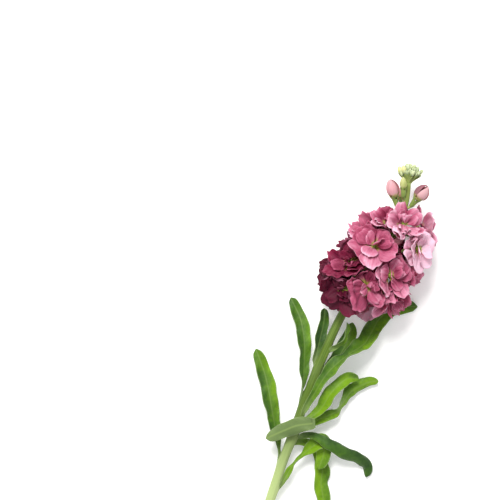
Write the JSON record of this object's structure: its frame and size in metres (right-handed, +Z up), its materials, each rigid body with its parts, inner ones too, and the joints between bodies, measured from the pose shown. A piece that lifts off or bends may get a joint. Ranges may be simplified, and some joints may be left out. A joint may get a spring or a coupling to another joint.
{
  "type": "stock flower stem",
  "caption": "Cut stem of double stock with a dense spike of ruffled pink blooms, green tip buds and long waved leaves, lying on its side.",
  "frame": {"origin": "middle of the part in plan, on the surface that it lies on", "axes": "+X along the stalk from its cut end to its tip, +Y to the left seen from above, +Z up"},
  "size_m": [0.4062, 0.1069, 0.0606],
  "materials": {
    "stem_green": "satin fresh green stalk, softly ribbed, with a fine bloom of hairs",
    "petal": "soft matt dusty-pink petal, paler at its rim, yellow-green at its claw",
    "bud_petal": "soft matt pale pink rolled petals",
    "bud_green": "downy grey-green bud",
    "leaf": "matt mid-green leaf with a pale midrib and a downy surface"
  },
  "bodies": {
    "root": {"stem": "stem_green", "bloom_01": "petal", "bloom_02": "petal", "bloom_03": "petal", "bloom_04": "petal", "bloom_05": "petal", "bloom_06": "petal", "bloom_07": "petal", "bloom_08": "petal", "bloom_09": "petal", "bloom_10": "petal", "bloom_11": "petal", "bloom_12": "petal", "bloom_13": "petal", "bloom_14": "petal", "bloom_15": "petal", "bloom_16": "petal", "bloom_17": "petal", "bloom_18": "petal", "bloom_19": "petal", "bloom_20": "petal", "bloom_21": "petal", "bloom_22": "petal", "bud_01": "bud_petal", "bud_02": "bud_petal", "bud_03": "bud_petal", "bud_04": "bud_petal", "green_bud": "bud_green", "tip_buds": "bud_green", "leaf_01": "leaf", "leaf_02": "leaf", "leaf_03": "leaf", "leaf_04": "leaf", "leaf_05": "leaf", "leaf_06": "leaf", "leaf_07": "leaf", "leaf_08": "leaf", "leaf_09": "leaf", "leaf_10": "leaf", "leaf_11": "leaf", "leaf_12": "leaf"}
  },
  "joints": []
}
